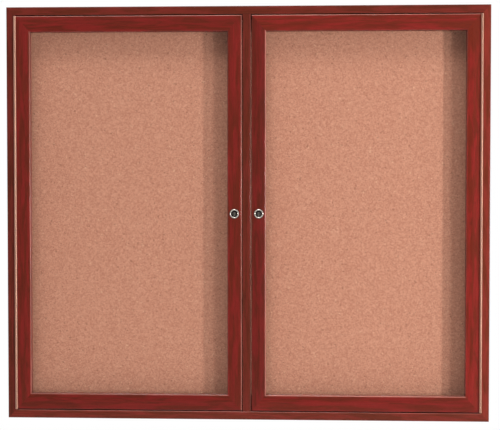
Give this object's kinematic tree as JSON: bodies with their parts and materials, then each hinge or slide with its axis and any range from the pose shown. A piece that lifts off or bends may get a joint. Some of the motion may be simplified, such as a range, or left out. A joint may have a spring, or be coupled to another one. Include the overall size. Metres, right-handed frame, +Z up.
{
  "type": "notice board",
  "caption": "Enclosed wall notice board: shallow lacquered wooden cabinet with a cork back and two glazed, lockable doors on piano hinges.",
  "frame": {"origin": "centre of the back, on the wall face", "axes": "+X across the board to the viewer's right, +Y back into the wall, +Z up; the doors face -Y"},
  "size_m": [1.067, 0.0753, 0.914],
  "materials": {
    "cabinet_wood": "cherry stain under gloss lacquer",
    "door_wood": "cherry stain under gloss lacquer",
    "raw_wood": "unfinished",
    "hardboard": "smooth hardboard",
    "fibreboard": "soft fibreboard",
    "cork": "natural fine-grained cork",
    "clear_glass": "clear",
    "hinge_brass": "satin, pale",
    "zinc_steel": "zinc plated",
    "lock_chrome": "polished",
    "felt": "felt"
  },
  "bodies": {
    "cabinet": {"cabinet_top_rail": "cabinet_wood", "cabinet_bottom_rail": "cabinet_wood", "cabinet_left_side": "cabinet_wood", "cabinet_right_side": "cabinet_wood", "centre_mullion": "cabinet_wood", "top_door_stops": "cabinet_wood", "bottom_door_stops": "cabinet_wood", "mullion_dowels": "raw_wood", "cabinet_corner_splines": "raw_wood", "back_panel": "hardboard", "backing_board": "fibreboard", "cork_sheet": "cork", "back_panel_screws": "zinc_steel", "stop_bumpers": "felt", "left_hinge_frame_leaf": "hinge_brass", "left_hinge_frame_screws": "hinge_brass", "left_hinge_pin": "zinc_steel", "right_hinge_frame_leaf": "hinge_brass", "right_hinge_frame_screws": "hinge_brass", "right_hinge_pin": "zinc_steel"},
    "left_door": {"left_door_top_rail": "door_wood", "left_door_bottom_rail": "door_wood", "left_door_hinge_stile": "door_wood", "left_door_lock_stile": "door_wood", "left_door_corner_splines": "raw_wood", "left_door_pane": "clear_glass", "left_door_glazing_beads": "door_wood", "left_door_bead_brads": "zinc_steel", "left_hinge_door_leaf": "hinge_brass", "left_hinge_door_screws": "hinge_brass", "left_lock_body": "lock_chrome", "left_lock_nut": "lock_chrome"},
    "right_door": {"right_door_top_rail": "door_wood", "right_door_bottom_rail": "door_wood", "right_door_hinge_stile": "door_wood", "right_door_lock_stile": "door_wood", "right_door_corner_splines": "raw_wood", "right_door_pane": "clear_glass", "right_door_glazing_beads": "door_wood", "right_door_bead_brads": "zinc_steel", "right_hinge_door_leaf": "hinge_brass", "right_hinge_door_screws": "hinge_brass", "right_lock_body": "lock_chrome", "right_lock_nut": "lock_chrome"},
    "left_lock": {"left_lock_plug": "lock_chrome", "left_lock_wafers": "hinge_brass", "left_lock_cam": "zinc_steel", "left_lock_cam_screw": "zinc_steel"},
    "right_lock": {"right_lock_plug": "lock_chrome", "right_lock_wafers": "hinge_brass", "right_lock_cam": "zinc_steel", "right_lock_cam_screw": "zinc_steel"}
  },
  "joints": [
    {"name": "left_door_hinge", "type": "hinge", "parent": "cabinet", "child": "left_door", "pos_m": [-0.51425, -0.0726, 0], "axis": [0, 0, -1], "range_deg": [0, 180]},
    {"name": "right_door_hinge", "type": "hinge", "parent": "cabinet", "child": "right_door", "pos_m": [0.51425, -0.0726, 0], "axis": [0, 0, 1], "range_deg": [0, 180]},
    {"name": "left_lock_turn", "type": "hinge", "parent": "left_door", "child": "left_lock", "pos_m": [-0.027, -0.07, 0], "axis": [0, -1, 0], "range_deg": [0, 90]},
    {"name": "right_lock_turn", "type": "hinge", "parent": "right_door", "child": "right_lock", "pos_m": [0.027, -0.07, 0], "axis": [0, 1, 0], "range_deg": [0, 90]}
  ]
}
